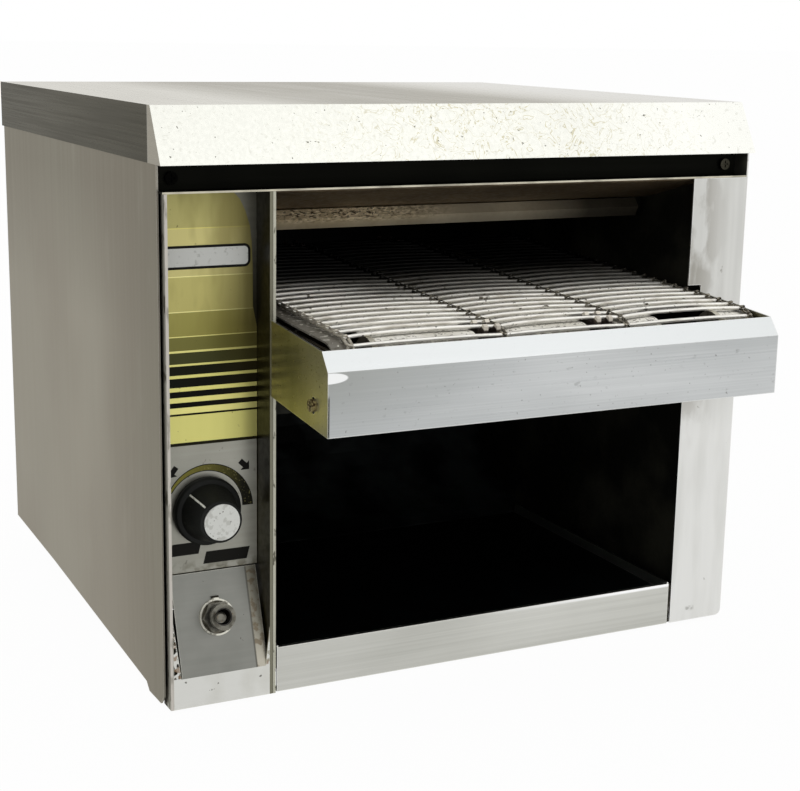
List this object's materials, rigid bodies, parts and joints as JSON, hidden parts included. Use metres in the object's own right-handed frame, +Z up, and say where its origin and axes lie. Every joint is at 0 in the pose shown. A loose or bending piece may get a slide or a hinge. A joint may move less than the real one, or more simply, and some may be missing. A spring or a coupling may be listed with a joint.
{
  "type": "conveyor toaster",
  "caption": "Countertop conveyor toaster: steel housing with slanted hood, wire belt between two openings, feed shelf, slide-out receiving tray and a recessed control column.",
  "frame": {"origin": "on the counter, under the middle of the whole appliance's box", "axes": "+Z up, the openings and controls face -Y, the control column is at -X"},
  "size_m": [0.3682, 0.4154, 0.322],
  "materials": {
    "top_cover": "brushed stainless, stained",
    "left_side_panel": "brushed stainless",
    "right_side_panel": "brushed stainless",
    "rear_panel": "brushed stainless",
    "base_pan": "galvanised sheet",
    "feet": "matte rubber",
    "front_rail": "heat-darkened stainless",
    "control_wall_left": "sheet steel",
    "control_wall_right": "darkened sheet steel",
    "control_faceplate": "sheet steel",
    "upper_label": "worn gold foil label, no words",
    "lower_label": "worn silver foil label, no words",
    "switch_bracket": "stained stainless",
    "divider_wall": "heat-darkened stainless",
    "oven_right_wall": "heat-darkened stainless",
    "front_baffle": "heat-tinted stainless",
    "baffle_bar": "heat-tinted stainless",
    "top_reflector": "aluminised steel",
    "return_chute": "darkened stainless",
    "receiving_tray": "stainless",
    "feed_shelf": "brushed stainless",
    "shelf_crossmember": "sheet steel",
    "conveyor_rails": "darkened sheet steel",
    "rail_spacers": "turned steel",
    "belt_supports": "steel strip and rod",
    "idler_guard": "speckled steel sheet",
    "idler_shaft": "turned steel",
    "idler_sprockets": "dark sintered steel",
    "drive_shaft": "turned steel",
    "drive_sprockets": "dark sintered steel",
    "shaft_bushings": "sintered bronze",
    "shaft_collars": "turned steel",
    "conveyor_belt": "stainless wire",
    "chain_sprocket": "machined steel",
    "motor_sprocket": "machined steel",
    "drive_chain": "oiled steel",
    "gearbox": "die-cast",
    "drive_motor": "varnished laminations",
    "upper_heaters": "oxidised sheath",
    "lower_heaters": "oxidised sheath",
    "heater_insulators": "white ceramic",
    "speed_control": "cast body with solder lugs",
    "speed_shaft": "turned",
    "speed_knob": "black phenolic",
    "knob_cap": "spun aluminium disc",
    "knob_pointer": "white paint line",
    "control_board": "green circuit board",
    "power_switch": "dark phenolic body with metal bushing",
    "switch_washer": "nickel plated",
    "switch_nut": "darkened nickel plate",
    "switch_lever": "worn nickel plate",
    "fan_frame": "black moulding",
    "fan_rotor": "black moulding",
    "fan_guard": "plated wire",
    "terminal_block": "white moulding",
    "limit_thermostat": "ceramic body, steel cup",
    "cord_gland": "black nylon",
    "housing_screws": "plated steel",
    "shelf_screws": "darkened steel",
    "motor_screws": "plated steel"
  },
  "bodies": {
    "housing": {"top_cover": "top_cover", "left_side_panel": "left_side_panel", "right_side_panel": "right_side_panel", "rear_panel": "rear_panel", "base_pan": "base_pan", "feet": "feet", "front_rail": "front_rail", "control_wall_left": "control_wall_left", "control_wall_right": "control_wall_right", "control_faceplate": "control_faceplate", "upper_label": "upper_label", "lower_label": "lower_label", "switch_bracket": "switch_bracket", "divider_wall": "divider_wall", "oven_right_wall": "oven_right_wall", "front_baffle": "front_baffle", "baffle_bar": "baffle_bar", "top_reflector": "top_reflector", "return_chute": "return_chute", "feed_shelf": "feed_shelf", "shelf_crossmember": "shelf_crossmember", "conveyor_rails": "conveyor_rails", "rail_spacers": "rail_spacers", "belt_supports": "belt_supports", "idler_guard": "idler_guard", "shaft_bushings": "shaft_bushings", "conveyor_belt": "conveyor_belt", "drive_chain": "drive_chain", "gearbox": "gearbox", "drive_motor": "drive_motor", "upper_heaters": "upper_heaters", "lower_heaters": "lower_heaters", "heater_insulators": "heater_insulators", "speed_control": "speed_control", "control_board": "control_board", "power_switch": "power_switch", "switch_washer": "switch_washer", "switch_nut": "switch_nut", "fan_frame": "fan_frame", "fan_guard": "fan_guard", "terminal_block": "terminal_block", "limit_thermostat": "limit_thermostat", "cord_gland": "cord_gland", "housing_screws": "housing_screws", "shelf_screws": "shelf_screws", "motor_screws": "motor_screws"},
    "drive_assembly": {"drive_shaft": "drive_shaft", "drive_sprockets": "drive_sprockets", "chain_sprocket": "chain_sprocket"},
    "idler_assembly": {"idler_shaft": "idler_shaft", "idler_sprockets": "idler_sprockets", "shaft_collars": "shaft_collars"},
    "motor_output": {"motor_sprocket": "motor_sprocket"},
    "cooling_fan": {"fan_rotor": "fan_rotor"},
    "speed_dial": {"speed_knob": "speed_knob", "knob_cap": "knob_cap", "knob_pointer": "knob_pointer", "speed_shaft": "speed_shaft"},
    "toggle": {"switch_lever": "switch_lever"},
    "crumb_tray": {"receiving_tray": "receiving_tray"}
  },
  "joints": [
    {"name": "drive_shaft_turn", "type": "hinge", "parent": "housing", "child": "drive_assembly", "pos_m": [0, 0.07844, 0.2058], "axis": [1, 0, 0], "continuous": true, "deforming": ["conveyor_belt", "drive_chain"]},
    {"name": "idler_shaft_turn", "type": "hinge", "parent": "housing", "child": "idler_assembly", "pos_m": [0, -0.18055, 0.1954], "axis": [1, 0, 0], "continuous": true},
    {"name": "motor_output_turn", "type": "hinge", "parent": "housing", "child": "motor_output", "pos_m": [-0.15, 0.0152, 0.15274], "axis": [1, 0, 0], "continuous": true},
    {"name": "cooling_fan_spin", "type": "hinge", "parent": "housing", "child": "cooling_fan", "pos_m": [0.0172, 0.18075, 0.069], "axis": [0, 1, 0], "continuous": true},
    {"name": "speed_knob_turn", "type": "hinge", "parent": "housing", "child": "speed_dial", "pos_m": [-0.154, -0.11575, 0.1065], "axis": [0, 1, 0], "range_deg": [-105, 195]},
    {"name": "power_switch_toggle", "type": "hinge", "parent": "housing", "child": "toggle", "pos_m": [-0.151, -0.12704, 0.0485], "axis": [0, 0.3324, 0.9432], "range_deg": [0, 28]},
    {"name": "receiving_tray_slide", "type": "slide", "parent": "housing", "child": "crumb_tray", "axis": [0, -1, 0], "range_m": [0, 0.15]}
  ],
  "couplings": [
    {"joint": "idler_shaft_turn", "follows": "drive_shaft_turn", "ratio": 1},
    {"joint": "motor_output_turn", "follows": "drive_shaft_turn", "ratio": 1}
  ]
}
